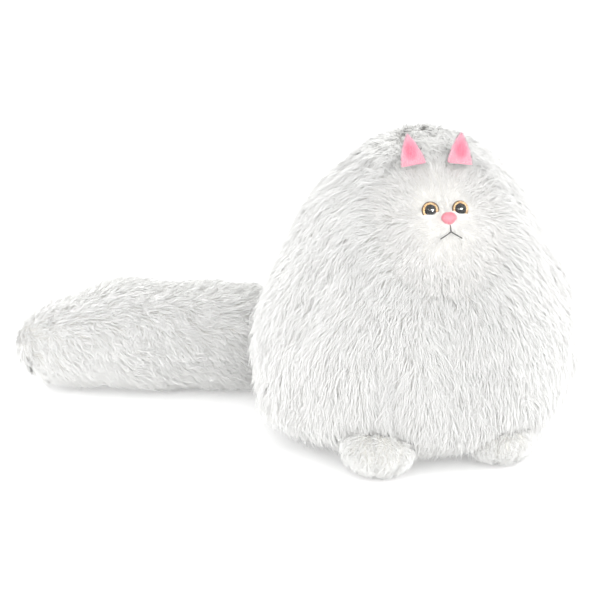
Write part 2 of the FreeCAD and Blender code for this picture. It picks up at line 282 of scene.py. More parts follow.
def plantHairs(skin, spacing, hair, seed, keepClear=None, clearance=0.0):
    # Geometry Nodes sows one upright hair at each point of the skin; returns them as one mesh
    tree = bpy.data.node_groups.new("sowHairs", "GeometryNodeTree")
    tree.interface.new_socket("Geometry", in_out="INPUT", socket_type="NodeSocketGeometry")
    tree.interface.new_socket("Geometry", in_out="OUTPUT", socket_type="NodeSocketGeometry")
    start = addNode(tree, "NodeGroupInput")
    sown = addNode(tree, "GeometryNodeDistributePointsOnFaces", {"distribute_method": "POISSON"},
                   {"Distance Min": spacing, "Density Max": 4.0 / spacing ** 2, "Seed": seed},
                   {"Mesh": start.outputs[0]})
    points = sown.outputs["Points"]
    if keepClear:
        bare = addNode(tree, "GeometryNodeObjectInfo", values={"Object": keepClear})
        near = addNode(tree, "GeometryNodeProximity", {"target_element": "FACES"},
                       links={0: bare.outputs["Geometry"]})
        tooNear = addNode(tree, "FunctionNodeCompare", {"operation": "LESS_THAN"}, {1: clearance},
                          {0: near.outputs["Distance"]})
        thinned = addNode(tree, "GeometryNodeDeleteGeometry", links={0: points, 1: tooNear.outputs[0]})
        points = thinned.outputs[0]
    position = addNode(tree, "GeometryNodeInputPosition")
    kept = points
    for label, source in (("rootAt", position.outputs[0]), ("rootUp", sown.outputs["Normal"])):
        kept = addNode(tree, "GeometryNodeStoreNamedAttribute", {"data_type": "FLOAT_VECTOR"},
                       {"Name": label}, {"Geometry": kept, "Value": source}).outputs[0]
    info = addNode(tree, "GeometryNodeObjectInfo", values={"Object": hair})
    copies = addNode(tree, "GeometryNodeInstanceOnPoints",
                     links={"Points": kept, "Instance": info.outputs["Geometry"]})
    real = addNode(tree, "GeometryNodeRealizeInstances", links={"Geometry": copies.outputs[0]})
    addNode(tree, "NodeGroupOutput", links={0: real.outputs[0]})
    modifier = skin.modifiers.new("sowHairs", "NODES")
    modifier.node_group = tree
    bpy.context.view_layer.update()
    graph = bpy.context.evaluated_depsgraph_get()
    mesh = bpy.data.meshes.new_from_object(skin.evaluated_get(graph))
    skin.modifiers.remove(modifier)
    bpy.data.node_groups.remove(tree)
    return mesh


def readVectors(mesh, name):
    data = np.empty(len(mesh.vertices) * 3, np.float32)
    mesh.attributes[name].data.foreach_get("vector", data)
    return data.reshape(-1, 3).astype(float)


def combHairs(mesh, hair, look, combAt, seed):
    # lays every hair along the combing direction, gathers neighbours into locks and tints them
    made = np.random.default_rng(seed)
    perHair = len(hair.data.vertices)
    roots = readVectors(mesh, "rootAt")[::perHair]
    ups = unit(readVectors(mesh, "rootUp")[::perHair])
    shape = coordsOf(hair.data)
    count = len(roots)
    comb, lengths, rise = combAt(roots, ups)
    comb = unit(comb - (comb * ups).sum(1, keepdims=True) * ups)
    side = np.cross(ups, comb)
    wander = (look["wander"] * waves(roots, look["swirl"], seed + 1)
              + look["wander"] * 0.6 * waves(roots, look["swirl"] * 0.33, seed + 2)
              + look["scatter"] * made.normal(size=count))
    comb = comb * np.cos(wander)[:, None] + side * np.sin(wander)[:, None]
    side = np.cross(ups, comb)
    # locks: each hair leans towards the nearest lock's middle
    chosen = made.choice(count, max(4, int(count / look["hairsPerLock"])), replace=False)
    tree = kdtree.KDTree(len(chosen))
    for i, k in enumerate(chosen):
        tree.insert(roots[k], i)
    tree.balance()
    nearest = np.array([tree.find(p)[1] for p in roots])
    pull = roots[chosen[nearest]] - roots
    far = np.linalg.norm(pull, axis=1, keepdims=True)
    pull = pull * np.minimum(1.0, look["lockReach"] / np.maximum(far, 1e-9))
    lockLength = made.uniform(0.85, 1.1, len(chosen))[nearest]
    lockRise = made.normal(0, 0.10, len(chosen))[nearest]
    lockTint = made.uniform(-1, 1, len(chosen))[nearest]
    lockTurn = made.normal(0, look["lockTurn"], len(chosen))[nearest]
    comb = comb * np.cos(lockTurn)[:, None] + side * np.sin(lockTurn)[:, None]
    lengths = lengths * lockLength * made.uniform(0.72, 1.12, count)
    stray = made.random(count) < look["strays"]
    lengths = np.where(stray, lengths * 1.18, lengths)
    rise0 = np.clip(rise + lockRise + made.normal(0, 0.07, count) + 0.35 * stray, 0.02, 1.4)
    # walk up the hair
    steps = np.unique(np.round(shape[:, 2], 4))
    line = {0.0: roots}
    fine = np.linspace(0, 1, 13)
    at = roots.copy()
    curl = made.normal(0, look["curl"], count)
    for a, b in zip(fine, fine[1:]):
        mid = (a + b) / 2
        angle = rise0 * (1 - mid) ** 1.3 + look["tipRise"] * mid
        sway = curl * math.sin(mid * 5.0)
        way = (comb + side * sway[:, None]) * np.cos(angle)[:, None] + ups * np.sin(angle)[:, None]
        at = at + unit(way) * (lengths * (b - a))[:, None]
        line[round(b, 4)] = at + pull * (look["gather"] * b ** 1.2)
    fineKeys = np.array(sorted(line))
    co = np.empty((count, perHair, 3))
    for index, (x, y, t) in enumerate(shape):
        low = fineKeys[fineKeys <= t + 1e-6][-1]
        high = fineKeys[fineKeys >= t - 1e-6][0]
        share = 0 if high == low else (t - low) / (high - low)
        middle = line[low] * (1 - share) + line[high] * share
        taper = look["thick"] * (1 - 0.55 * t) if t < 0.999 else 0.0
        across = side * x + np.cross(unit(comb + ups * 0.3), side) * y
        co[:, index] = middle + across * taper * hairScale(lengths, look)[:, None]
    # hairs that would pass through the floor lie along it
    low, soft = look.get("lowest", 0.4 * mm), 2.5 * mm
    z = co[:, :, 2]
    co[:, :, 2] = np.where(z < low + soft, low + soft * np.exp(np.minimum(z - low - soft, 0) / soft), z)
    setCoords(mesh, co.reshape(-1, 3))
    # tint: roots darker as painted shade deep in the pile, tips light, each lock a little different in tone
    t = np.tile(shape[:, 2], count)
    tint = 0.38 + 0.34 * t + np.repeat(0.08 * lockTint + made.normal(0, 0.06, count), perHair)
    if "tintAt" in look:
        tint = look["tintAt"](np.repeat(roots, perHair, 0)) + 0.25 * (t - 0.5) + np.repeat(
            made.normal(0, 0.08, count), perHair)
    own = np.empty(len(mesh.vertices) * 3, np.float32)
    mesh.vertices.foreach_get("normal", own)
    share = look["softShade"] * (1 - 0.75 * smoothStep(ups[:, 2], 0.78, 0.96))
    share = np.repeat(share, perHair)[:, None]
    soft = unit(own.reshape(-1, 3) * (1 - share) + np.repeat(ups, perHair, 0) * share)
    for label in ("rootAt", "rootUp"):
        mesh.attributes.remove(mesh.attributes[label])
    layer = mesh.attributes.new("tint", "FLOAT", "POINT")
    layer.data.foreach_set("value", np.clip(tint, 0, 1).astype(np.float32))
    mesh.shade_smooth()
    mesh.normals_split_custom_set_from_vertices(soft.tolist())
    return count


def hairScale(lengths, look):
    return np.clip(lengths / look["fullLength"], 0.55, 1.1)


def furOn(skin, hair, look, combAt, seed, material, keepClear=None, clearance=0.0):
    # adds combed pile to a skin and joins both into one piece
    mesh = plantHairs(skin, look["spacing"], hair, seed, keepClear, clearance)
    count = combHairs(mesh, hair, look, combAt, seed)
    mesh.materials.clear()
    mesh.materials.append(material)
    pile = bpy.data.objects.new("pile", mesh)
    bpy.context.scene.collection.objects.link(pile)
    skin.data.attributes.new("tint", "FLOAT", "POINT")
    bpy.ops.object.select_all(action="DESELECT")
    pile.select_set(True)
    skin.select_set(True)
    bpy.context.view_layer.objects.active = skin
    bpy.ops.object.join()
    skin.data.calc_loop_triangles()
    print(skin.name, count, "hairs", len(skin.data.loop_triangles), "triangles")
    return skin


def pileLook(**changes):
    # what a stretch of pile is made to; lengths in metres, angles in radians, the rest are shares
    look = {"wander": 0.25, "scatter": 0.2, "lockTurn": 0.2, "strays": 0.05, "curl": 0.16, "tipRise": 0.1,
            "gather": 0.4, "softShade": 0.6}
    return {**look, **changes}


# ---- body
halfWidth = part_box("side_left_panel")[1].x
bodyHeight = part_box("side_left_panel")[1].z
body = {
    # half width over the widest, height over the full height
    "outline": [(0.0, 0.0), (0.34, 0.0), (0.55, 0.0), (0.77, 0.038), (0.955, 0.122), (1.0, 0.255),
                (0.992, 0.357), (0.932, 0.483), (0.828, 0.612), (0.698, 0.741), (0.497, 0.867),
                (0.277, 0.956), (0.0, 1.0)],
    "depth": 0.97, "lean": 0.055, "skinInset": 8.5 * mm, "baseInset": 4 * mm,
    "crownRise": 0.55, "seamDip": 3 * mm, "seamWidth": 9 * mm, "lump": 2.4 * mm, "lumpSize": 95 * mm,
    "fuller": 0.036, "crownShift": 4 * mm,       # the stuffing has settled a little to the cat's left
    "panels": 6, "rows": 64, "columns": 16, "pressure": 4.0, "cap": 5 * mm,
    "down": (0.0, -0.04, -1.0),                  # the way the pile falls
    "fanReach": 0.45, "fanPull": 1.3, "fanRise": 0.2,            # pile spreads away from the face
    "collarCut": 0.35, "collarWidth": 0.14, "hemCut": 0.45, "hemHeight": 50 * mm,
    "earCut": 0.6, "earRoom": 15 * mm, "rise": 0.62,
    "crownFrom": 235 * mm, "crownTo": 280 * mm, "crownWay": (0, -0.3, 0.3), "crownMix": 0.3,
    "crownLie": 0.25, "frizz": 12 * mm,
    "look": pileLook(spacing=1.08 * mm, thick=0.46 * mm, fullLength=21 * mm, wander=0.22, swirl=40 * mm,
                     scatter=0.14, hairsPerLock=11, lockReach=4 * mm, gather=0.42, strays=0.07,
                     curl=0.18, lockTurn=0.26, softShade=0.62),
}
face = {
    "centre": Vector((0, 0, 218 * mm)), "half": (49 * mm, 50 * mm), "edgeInset": 8.5 * mm,
    "muzzle": Vector((0, -82 * mm, 205 * mm)), "muzzleHalf": (50 * mm, 46 * mm, 36 * mm),
    "napInset": 2.5 * mm, "melt": 7 * mm, "creaseDepth": 2.0 * mm, "creaseWidth": 2.4 * mm,
    "napLength": 6.5 * mm, "bare": 1.4 * mm, "creaseFrom": (236 * mm, 246 * mm),
    "bridge": 2.5 * mm, "bridgeHalf": (6.5 * mm, 8 * mm), "bridgeHeight": 229 * mm,
    "pile": {"middle": 222 * mm, "halfWide": 36 * mm, "halfUp": 48 * mm, "halfDown": 40 * mm,
             "edgeExtra": 13 * mm, "earCut": 0.45, "earRoom": 14 * mm, "eyeCut": 0.4, "eyeRoom": 11 * mm,
             "sink": -0.35, "rise": 0.55, "edgeRise": 0.25},
    "look": pileLook(spacing=0.95 * mm, thick=0.36 * mm, fullLength=10 * mm, wander=0.24, swirl=22 * mm,
                     hairsPerLock=11, lockReach=3 * mm, lockTurn=0.24, softShade=0.5),
}
ear = {"base": Vector((21 * mm, -77.5 * mm, 269 * mm))}


def skinProfile(inset):
    outline = np.array(body["outline"]) * [halfWidth, bodyHeight]
    line = smoothThrough(outline[2:], body["rows"])
    along = np.gradient(line, axis=0)
    out = unit(np.stack([along[:, 1], -along[:, 0]], 1))
    crown = 1 - body["crownRise"] * smoothStep(line[:, 1:], 0.21, 0.27)
    line = line - out * inset * crown
    line[-1, 0] = 0.0
    line[:, 0] = np.maximum(line[:, 0], 0)
    line[:, 1] = np.maximum(line[:, 1], body["baseInset"])
    return line


def leanBody(co):
    co[:, 1] = co[:, 1] * body["depth"] - co[:, 2] * body["lean"]
    return co


def bodyFront(x, z, inset):
    # how far forward the body's skin stands at each place across its front
    line = skinProfile(inset)
    radius = np.interp(z, line[:, 1], line[:, 0])
    return -body["depth"] * np.sqrt(np.maximum(radius ** 2 - x ** 2, 0)) - body["lean"] * z


def faceReach(co):
    # 1 on the face's edge, smaller inside it
    return np.hypot(co[:, 0] / face["half"][0], (co[:, 2] - face["centre"].z) / face["half"][1])


def inflate(piece, sewn, pressure, cap):
    # stuffing pressure swells the cloth between its sewn lines
    start = coordsOf(piece.data)
    group = piece.vertex_groups.new(name="sewn")
    group.add([int(i) for i in sewn], 1.0, "REPLACE")
    cloth = piece.modifiers.new("stuffed", "CLOTH")
    settings = cloth.settings
    settings.vertex_group_mass = "sewn"
    settings.quality = 6
    settings.mass = 0.25
    settings.tension_stiffness = 12
    settings.compression_stiffness = 12
    settings.shear_stiffness = 6
    settings.bending_stiffness = 0.6
    settings.air_damping = 4
    settings.use_pressure = True
    settings.uniform_pressure_force = pressure
    settings.effector_weights.gravity = 0
    cloth.point_cache.frame_end = 20
    for step in range(1, 21):
        bpy.context.scene.frame_set(step)
    finishModifiers(piece)
    bpy.context.scene.frame_set(1)
    moved = coordsOf(piece.data) - start
    far = np.linalg.norm(moved, axis=1, keepdims=True)
    setCoords(piece.data, start + moved * np.minimum(1, cap / np.maximum(far, 1e-9)))
    piece.vertex_groups.clear()


def dressPiece(piece, bodyName, nodes):
    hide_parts(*nodes)
    if bodyName:
        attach(piece, bodyName)
    return piece


def copyPiece(piece, name):
    made = bpy.data.objects.new(name, piece.data.copy())
    made.data.name = name
    bpy.context.scene.collection.objects.link(made)
    return made


def keepFaces(piece, test):
    # drops every face whose middle fails the test
    bm = bmesh.new()
    bm.from_mesh(piece.data)
    kept = test(np.array([f.calc_center_median() for f in bm.faces]))
    gone = [f for f, stays in zip(bm.faces[:], kept) if not stays]
    bmesh.ops.delete(bm, geom=gone, context="FACES")
    bm.to_mesh(piece.data)
    bm.free()


def shrunk(piece, name, inset, material):
    # the filling under a skin: the same form a little smaller, closed over any opening
    made = copyPiece(piece, name)
    bm = bmesh.new()
    bm.from_mesh(made.data)
    bmesh.ops.holes_fill(bm, edges=bm.edges[:], sides=0)
    bmesh.ops.recalc_face_normals(bm, faces=bm.faces[:])
    bm.normal_update()
    for v in bm.verts:
        v.co -= v.normal * inset
    bm.to_mesh(made.data)
    bm.free()
    made.data.materials.clear()
    made.data.materials.append(material)
    made.data.shade_smooth()
    return made


def nearEar(roots, side, lift, room):
    # 1 at an ear's root, fading over the room around it
    gap = roots - np.array([side * ear["base"].x, ear["base"].y, ear["base"].z + lift])
    return np.exp(-(np.linalg.norm(gap, axis=1) / room) ** 2)


def bodyComb(roots, ups):
    down = np.tile(body["down"], (len(roots), 1))
    out = roots - np.array([0, 0, face["centre"].z + 4 * mm])
    out[:, 1] = 0
    reach = faceReach(roots)
    front = np.clip(-ups[:, 1] * 2, 0, 1)
    share = (front * np.exp(-np.maximum(reach - 1, 0) / body["fanReach"]))[:, None]
    comb = down * (1 - share) + unit(out) * share * body["fanPull"]
    length = body["look"]["fullLength"] * np.ones(len(roots))
    length *= 1 - body["collarCut"] * front * np.exp(-((reach - 1) / body["collarWidth"]) ** 2)
    length *= np.clip(body["hemCut"] + roots[:, 2] / body["hemHeight"], body["hemCut"], 1.0)
    for side in (-1, 1):
        length *= 1 - body["earCut"] * nearEar(roots, side, 3 * mm, body["earRoom"])
    crown = smoothStep(roots[:, 2], body["crownFrom"], body["crownTo"])
    every = np.stack([waves(roots, body["frizz"], seed) for seed in (61, 62, 63)], 1)
    comb = comb + crown[:, None] * (every * body["crownMix"] + body["crownWay"])
    rise = body["rise"] + body["fanRise"] * share[:, 0] - body["crownLie"] * crown
    return comb, length, rise


def buildBody():
    bm = bmesh.new()
    line = [bm.verts.new((0, r, z)) for r, z in skinProfile(body["skinInset"])]
    for a, b in zip(line, line[1:]):
        bm.edges.new((a, b))
    bmesh.ops.spin(bm, geom=bm.verts[:] + bm.edges[:], axis=(0, 0, 1), cent=(0, 0, 0),
                   angle=2 * math.pi, steps=body["panels"] * body["columns"], use_merge=True)
    bmesh.ops.remove_doubles(bm, verts=bm.verts[:], dist=0.2 * mm)
    bmesh.ops.recalc_face_normals(bm, faces=bm.faces[:])
    skin = pieceFrom(bm, "bodySkin", [backing])
    co = coordsOf(skin.data)
    sweep = 2 * math.pi / body["panels"]
    turn = np.arctan2(co[:, 1], co[:, 0])
    radius = np.hypot(co[:, 0], co[:, 1])
    toSeam = radius * np.abs((turn - math.pi / 2 + sweep / 2) % sweep - sweep / 2)
    dip = body["seamDip"] * np.exp(-(toSeam / body["seamWidth"]) ** 2) * np.clip(radius / 0.06, 0, 1)
    lump = body["lump"] * waves(co, body["lumpSize"], 11) * np.clip(co[:, 2] / 0.05, 0, 1)
    scale = 1 + (lump - dip) / np.maximum(radius, 0.02)
    co[:, :2] *= scale[:, None]
    lean = smoothStep(co[:, 2], 0.0, 0.08) * np.where(co[:, 0] > 0, body["fuller"], -body["fuller"])
    co[:, 0] *= 1 + lean
    co[:, 0] += body["crownShift"] * smoothStep(co[:, 2], 0.24, 0.285)
    setCoords(skin.data, leanBody(co))
    sewn = np.where((toSeam < 1 * mm) | (co[:, 2] < body["baseInset"] + 1 * mm) | (radius < 12 * mm))[0]
    inflate(skin, sewn, body["pressure"], body["cap"])
    print("body skin stuffed")

    filling = shrunk(skin, "bodyStuffing", 2 * mm, fibreFill)
    dressPiece(filling, "torso", ["body_stuffing"])

    names = ["backRightPanel", "sideRightPanel", "frontRightPanel",
             "frontLeftPanel", "sideLeftPanel", "backLeftPanel"]
    nodes = ["back_right_panel", "side_right_panel", "front_right_panel",
             "front_left_panel", "side_left_panel", "back_left_panel"]
    for index, (name, node) in enumerate(zip(names, nodes)):
        panel = copyPiece(skin, name)
        low = math.pi / 2 + index * sweep

        def belongs(co):
            flat = (co[:, 1] + body["lean"] * co[:, 2]) / body["depth"]
            return (np.arctan2(flat, co[:, 0]) - low) % (2 * math.pi) < sweep

        keepFaces(panel, belongs)
        if name.startswith("front"):
            keepFaces(panel, lambda co: (co[:, 1] > 0) | (faceReach(co) > 0.93))
        furOn(panel, hairShort, body["look"], bodyComb, 100 + index, longPile)
        dressPiece(panel, "torso", [node])
    bpy.data.objects.remove(skin)


buildBody()
print("body made")


# ---- base
base = {"columns": 48, "rings": 8, "drop": 2.2 * mm, "rise": 0.25,
        "look": pileLook(spacing=2.3 * mm, thick=0.5 * mm, fullLength=5 * mm, wander=0.5, swirl=30 * mm,
                         scatter=0.4, hairsPerLock=8, lockReach=3 * mm, gather=0.3, strays=0.0,
                         curl=0.1, lockTurn=0.3, tipRise=0.0, softShade=0.7)}


def buildBase():
    rim = skinProfile(body["skinInset"])[0][0] + 0.6 * mm
    bm = bmesh.new()
    bmesh.ops.create_circle(bm, cap_ends=True, segments=base["columns"], radius=rim)
    ring = bm.faces[:]
    for _ in range(base["rings"]):
        bmesh.ops.inset_region(bm, faces=ring, thickness=rim / (base["rings"] + 1), use_even_offset=True)
    bmesh.ops.reverse_faces(bm, faces=[f for f in bm.faces if f.normal.z > 0])
    skin = pieceFrom(bm, "basePanel", [backing])
    co = coordsOf(skin.data)
    reach = np.hypot(co[:, 0], co[:, 1]) / rim
    co[:, 2] = body["baseInset"] - base["drop"] * (1 - reach ** 6)
    setCoords(skin.data, leanBody(co))

    def comb(roots, ups):
        out = roots * [1, 1, 0]
        ones = np.ones(len(roots))
        return out, base["look"]["fullLength"] * ones, base["rise"] * ones

    furOn(skin, hairShort, base["look"], comb, 200, shadedShortPile)
    dressPiece(skin, "torso", ["base_panel"])


buildBase()
print("base made")


# ---- threads
def tubesAlong(name, runs, radius, material, resolution=2):
    # round threads along smooth lines, as one mesh
    curve = bpy.data.curves.new(name, "CURVE")
    curve.dimensions = "3D"
    for run in runs:
        spline = curve.splines.new("NURBS")
        spline.points.add(len(run) - 1)
        for point, place in zip(spline.points, run):
            point.co = (*place, 1)
        spline.order_u = 3
        spline.use_endpoint_u = True
        spline.resolution_u = 4
    curve.bevel_depth = radius
    curve.bevel_resolution = resolution
    curve.use_fill_caps = True
    made = bpy.data.objects.new(name, curve)
    bpy.context.scene.collection.objects.link(made)
    bpy.context.view_layer.update()
    mesh = bpy.data.meshes.new_from_object(made.evaluated_get(bpy.context.evaluated_depsgraph_get()))
    bpy.data.objects.remove(made)
    mesh.name = name
    mesh.materials.clear()
    mesh.materials.append(material)
    mesh.shade_smooth()
    piece = bpy.data.objects.new(name, mesh)
    bpy.context.scene.collection.objects.link(piece)
    return piece


def pliesOf(points, radius, pitch):
    # the two plies of a twisted thread, winding round a smooth line
    length = np.linalg.norm(np.diff(np.array(points), axis=0), axis=1).sum()
    line = smoothThrough(points, max(8, int(length / pitch * 6)))
    along = unit(np.gradient(line, axis=0))
    side = unit(np.cross(along, [0.3, -1, 0.2]))
    other = np.cross(along, side)
    turn = np.linspace(0, 2 * math.pi * length / pitch, len(line))
    runs = []
    for phase in (0, math.pi):
        wound = np.cos(turn + phase)[:, None] * side + np.sin(turn + phase)[:, None] * other
        runs.append(line + radius * wound)
    return runs


blackThread = threadMaterial("blackPolyesterThread", furLook["thread"])
whiteThread = threadMaterial("whitePolyesterThread", furLook["threadPale"])


# ---- face
def muzzleFront(x, z, inset):
    half = [h - inset for h in face["muzzleHalf"]]
    room = 1 - (x / half[0]) ** 2 - ((z - face["muzzle"].z) / half[2]) ** 2
    return face["muzzle"].y - half[1] * np.sqrt(np.maximum(room, 0))


def faceFront(x, z, inset):
    # body and muzzle melted into one surface
    a = bodyFront(x, z, inset)
    half = [h - inset for h in face["muzzleHalf"]]
    room = 1 - (x / half[0]) ** 2 - ((z - face["muzzle"].z) / half[2]) ** 2
    b = np.where(room > 0, muzzleFront(x, z, inset), 0.0)
    k = face["melt"]
    h = np.clip(0.5 + 0.5 * (b - a) / k, 0, 1)
    return b * (1 - h) + a * h - k * h * (1 - h)


def faceInset(x, z):
    # thin nap in the middle of the face, the body's long pile at its edge
    reach = np.hypot(x / face["half"][0], (z - face["centre"].z) / face["half"][1])
    return face["napInset"] + (face["edgeInset"] - face["napInset"]) * smoothStep(reach, 0.55, 1.0)


def insetFront(x, z):
    low = faceFront(x, z, face["napInset"])
    high = faceFront(x, z, face["edgeInset"])
    share = (faceInset(x, z) - face["napInset"]) / (face["edgeInset"] - face["napInset"])
    return low * (1 - share) + high * share


def faceComb(roots, ups):
    # short in the middle, longer towards the body's pile, and cut back round the ears and eyes
    pile = face["pile"]
    out = roots - np.array([0, 0, pile["middle"]])
    tall = out[:, 2] / np.where(out[:, 2] > 0, pile["halfUp"], pile["halfDown"])
    share = smoothStep(np.hypot(out[:, 0] / pile["halfWide"], tall), 0.55, 1.2)
    length = face["napLength"] + pile["edgeExtra"] * share
    for side in (-1, 1):
        length = length * (1 - pile["earCut"] * nearEar(roots, side, 0, pile["earRoom"]))
        gap = (roots - np.array([side * eye["aside"], 0, eye["height"]]))[:, [0, 2]]
        near = np.exp(-(np.linalg.norm(gap, axis=1) / pile["eyeRoom"]) ** 4)
        length = length * (1 - pile["eyeCut"] * near)
    out[:, 1] = 0
    comb = unit(out) + np.array([0, 0, pile["sink"]]) * (out[:, 2:3] < 0)
    return comb, length, pile["rise"] + pile["edgeRise"] * share


def facePart(side, bareParts):
    name = "faceLeftPanel" if side > 0 else "faceRightPanel"
    bm = bmesh.new()
    bmesh.ops.create_grid(bm, x_segments=56, y_segments=60, size=1.0)
    skin = pieceFrom(bm, name, [backing])
    co = coordsOf(skin.data)
    u, v = co[:, 0].copy(), co[:, 1].copy()
    x = u * np.sqrt(1 - v * v / 2) * face["half"][0]
    z = v * np.sqrt(1 - u * u / 2) * face["half"][1] + face["centre"].z
    crease = face["creaseDepth"] * np.exp(-(x / face["creaseWidth"]) ** 2)
    crease *= smoothStep(z, *face["creaseFrom"])
    wide, tall = face["bridgeHalf"]
    bridge = face["bridge"] * np.exp(-(x / wide) ** 2 - ((z - face["bridgeHeight"]) / tall) ** 2)
    y = insetFront(x, z) + crease - bridge
    setCoords(skin.data, np.stack([x, y, z], 1))
    keepFaces(skin, lambda co: co[:, 0] * side > 0)
    bm = bmesh.new()
    bm.from_mesh(skin.data)
    bm.normal_update()
    if sum(f.normal.y for f in bm.faces) > 0:
        bmesh.ops.reverse_faces(bm, faces=bm.faces[:])
    bm.to_mesh(skin.data)
    bm.free()
    furOn(skin, hairShort, face["look"], faceComb, 300 + side, shadedShortPile, bareParts, face["bare"])
    dressPiece(skin, "torso", ["face_left_panel" if side > 0 else "face_right_panel"])


# ---- eyes, nose and mouth
eye = {"aside": 13.3 * mm, "height": 232.5 * mm, "radius": 7.7 * mm, "dome": 5.0 * mm, "rim": 1.2 * mm,
       "pupil": 4.0 * mm, "pupilDepth": 1.6 * mm,
       "post": 2.4 * mm, "postLength": 15 * mm, "washer": 9.5 * mm, "washerDepth": 9 * mm,
       "washerThick": 1.2 * mm, "facing": (0.16, -0.93, 0.33), "grit": 0.5 * mm,
       "gold": [(0.0, "#6A4E2C"), (0.4, "#A88658"), (0.75, "#CFB284"), (1.0, "#F4E6C8")],
       "print": [(0.0, "#2A1C12"), (0.48, "#4A3220"), (0.54, "#F4E6D4"), (0.68, "#FFFFFF"),
                 (0.76, "#7A583C"), (0.84, "#3A2A1E")]}        # from the middle to the rim, darker towards the rim
mouth = {"top": 222 * mm, "fork": 216.5 * mm, "end": (9.6 * mm, 211 * mm), "ply": 0.33 * mm,
         "pitch": 2.2 * mm, "proud": 0.2 * mm}
nose = {"centre": Vector((0, -118.5 * mm, 227 * mm)), "half": (5.9 * mm, 3.8 * mm, 4.9 * mm),
        "rise": 0.9,
        "look": pileLook(spacing=0.42 * mm, thick=0.16 * mm, fullLength=1.9 * mm, wander=0.5, swirl=6 * mm,
                         scatter=0.5, hairsPerLock=5, lockReach=0.8 * mm, gather=0.2, curl=0.2,
                         lockTurn=0.4, tipRise=0.2)}


def clearMaterial():
    # moulded clear acrylic: glossy and colourless, so the painted iris shows through it
    return newMaterial("clearAcrylic", {"Base Color": hexColour("#FFFFFF"), "Roughness": 0.02, "IOR": 1.49,
                                        "Transmission Weight": 1.0})[0]


def gleamMaterial():
    # gold glitter film: small bright flakes at every angle, darker round the edge
    material, tree, shader = newMaterial("goldGlitterFilm", {"Roughness": 0.32, "Metallic": 0.55})
    place = addNode(tree, "ShaderNodeTexCoord")
    flakes = addNode(tree, "ShaderNodeTexVoronoi", values={"Scale": 1 / eye["grit"], "Randomness": 1.0},
                     links={"Vector": place.outputs["Object"]})
    tone = addNode(tree, "ShaderNodeSeparateColor", links={"Color": flakes.outputs["Color"]})
    gold = ramp(tree, tone.outputs["Red"], eye["gold"])
    ring = addNode(tree, "ShaderNodeAttribute", {"attribute_name": "ring"})
    edge = ramp(tree, ring.outputs["Fac"], eye["print"])
    both = addNode(tree, "ShaderNodeMix", {"data_type": "RGBA", "blend_type": "MULTIPLY"}, {"Factor": 1.0},
                   {6: gold, 7: edge})
    tree.links.new(both.outputs[2], shader.inputs["Base Color"])
    bump = addNode(tree, "ShaderNodeBump", values={"Strength": 0.6, "Distance": 0.12 * mm},
                   links={"Height": tone.outputs["Green"]})
    tree.links.new(bump.outputs["Normal"], shader.inputs["Normal"])
    return material


def gloss(name, colour, rough):
    return newMaterial(name, {"Base Color": hexColour(colour), "Roughness": rough,
                              "Specular IOR Level": 0.2})[0]


def spunPiece(name, profile, material, turn, steps=48):
    # a lathe-turned part about its own axis, then turned to its place
    bm = bmesh.new()
    line = [bm.verts.new((r, 0, z)) for r, z in profile]
    for a, b in zip(line, line[1:]):
        bm.edges.new((a, b))
    bmesh.ops.spin(bm, geom=bm.verts[:] + bm.edges[:], axis=(0, 0, 1), cent=(0, 0, 0),
                   angle=2 * math.pi, steps=steps, use_merge=True)
    bmesh.ops.remove_doubles(bm, verts=bm.verts[:], dist=0.004 * mm)
    bmesh.ops.recalc_face_normals(bm, faces=bm.faces[:])
    radii = [math.hypot(v.co.x, v.co.y) / eye["radius"] for v in bm.verts]
    bmesh.ops.transform(bm, matrix=turn, verts=bm.verts[:])
    made = pieceFrom(bm, name, [material])
    layer = made.data.attributes.new("ring", "FLOAT", "POINT")
    layer.data.foreach_set("value", np.array(radii, np.float32))
    return made


def domeArc(steps):
    r, h = eye["radius"], eye["dome"]
    ball = (r * r + h * h) / (2 * h)
    reach = math.asin(r / ball)
    return [(ball * math.sin(t), eye["rim"] + h - ball + ball * math.cos(t))
            for t in np.linspace(reach, 0, steps)]


def eyeTurn(side):
    low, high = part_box("eye_iris_left" if side > 0 else "eye_iris_right")
    normal = Vector((side * eye["facing"][0], eye["facing"][1], eye["facing"][2])).normalized()
    turn = normal.to_track_quat("Z", "Y").to_matrix().to_4x4()
    turn.translation = (low + high) / 2 + normal * 0.25 * mm
    return turn


